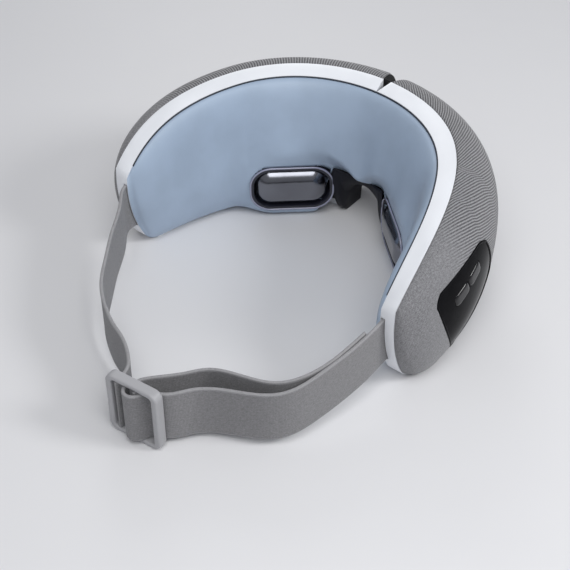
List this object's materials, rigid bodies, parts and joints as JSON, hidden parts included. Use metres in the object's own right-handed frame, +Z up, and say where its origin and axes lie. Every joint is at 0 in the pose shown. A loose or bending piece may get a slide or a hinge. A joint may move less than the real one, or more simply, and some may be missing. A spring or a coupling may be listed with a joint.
{
  "type": "eye massager",
  "caption": "Folding eye massager: curved fabric-covered halves on a nose hinge, padded face cushion, sprung massage heads, side control panel and an adjustable webbing strap.",
  "frame": {"origin": "middle of the overall length on the mid-plane, on the surface that the object stands on", "axes": "+Z up, +Y out of the front of the mask away from the wearer, +X to the wearer's right, where the control panel is"},
  "size_m": [0.1936, 0.2294, 0.0795],
  "materials": {
    "trim": "satin",
    "shell": "moulded",
    "cover": "knit",
    "frame": "moulded",
    "cushion": "smooth",
    "gusset": "matte",
    "steel": "plain",
    "tray": "satin",
    "head": "satin",
    "film": "film",
    "cell": "film",
    "panel": "gloss",
    "key": "gloss",
    "board": "board",
    "pump": "plain",
    "battery": "pouch",
    "webbing": "woven",
    "slider": "satin"
  },
  "bodies": {
    "right_half": {"trim_right": "trim", "shell_right": "shell", "cover_right": "cover", "frame_right": "frame", "cushion_right": "cushion", "cushion_bridge": "cushion", "fold_gusset": "gusset", "fold_harness": "gusset", "hinge_leaf_right": "steel", "hinge_pin": "steel", "hinge_screws_right": "steel", "head_tray_right": "tray", "air_cell_right": "cell", "control_panel": "panel", "key_board": "board", "main_board": "board", "air_pump": "pump", "air_valve": "pump", "strap_bar_right": "steel", "strap_tab_right": "webbing"},
    "left_half": {"trim_left": "trim", "shell_left": "shell", "cover_left": "cover", "frame_left": "frame", "cushion_left": "cushion", "hinge_leaf_left": "steel", "hinge_screws_left": "steel", "head_tray_left": "tray", "air_cell_left": "cell", "battery": "battery", "speaker": "pump", "charge_port": "steel", "strap_bar_left": "steel", "strap_tab_left": "webbing"},
    "right_head": {"massage_head_right": "head", "heater_film_right": "film", "vibration_motor_right": "steel"},
    "left_head": {"massage_head_left": "head", "heater_film_left": "film", "vibration_motor_left": "steel"},
    "power_button": {"power_key": "key"},
    "mode_button": {"mode_key": "key"},
    "right_strap": {"strap_outer": "webbing", "strap_inner": "webbing", "slider": "slider"},
    "left_strap": {"strap_left": "webbing"}
  },
  "joints": [
    {"name": "fold", "type": "hinge", "parent": "right_half", "child": "left_half", "pos_m": [0, 0.08167, 0.05], "axis": [0, 0, 1], "range_deg": [-18, 50], "deforming": ["cushion_bridge", "fold_gusset", "fold_harness"]},
    {"name": "right_strap_swing", "type": "hinge", "parent": "right_half", "child": "right_strap", "pos_m": [0.0779, -0.01893, 0.0289], "axis": [0, 0, 1], "range_deg": [-18.8, 52.21]},
    {"name": "left_strap_swing", "type": "hinge", "parent": "left_half", "child": "left_strap", "pos_m": [-0.0779, -0.01893, 0.0289], "axis": [0, 0, 1], "range_deg": [-52.21, 18.8]},
    {"name": "right_head_push", "type": "slide", "parent": "right_half", "child": "right_head", "axis": [-0.6691, -0.7431, 0], "range_m": [0, 0.0025], "stiffness_N_per_m": 400, "deforming": ["air_cell_right"]},
    {"name": "left_head_push", "type": "slide", "parent": "left_half", "child": "left_head", "axis": [0.6691, -0.7431, 0], "range_m": [0, 0.0025], "stiffness_N_per_m": 400, "deforming": ["air_cell_left"]},
    {"name": "power_key_press", "type": "slide", "parent": "right_half", "child": "power_button", "axis": [-0.9907, -0.1041, -0.0872], "range_m": [0, 0.0007], "stiffness_N_per_m": 300},
    {"name": "mode_key_press", "type": "slide", "parent": "right_half", "child": "mode_button", "axis": [-0.9907, -0.1041, -0.0872], "range_m": [0, 0.0007], "stiffness_N_per_m": 300}
  ],
  "couplings": [
    {"joint": "right_strap_swing", "follows": "fold", "ratio": 1.044},
    {"joint": "left_strap_swing", "follows": "fold", "ratio": -1.044}
  ]
}
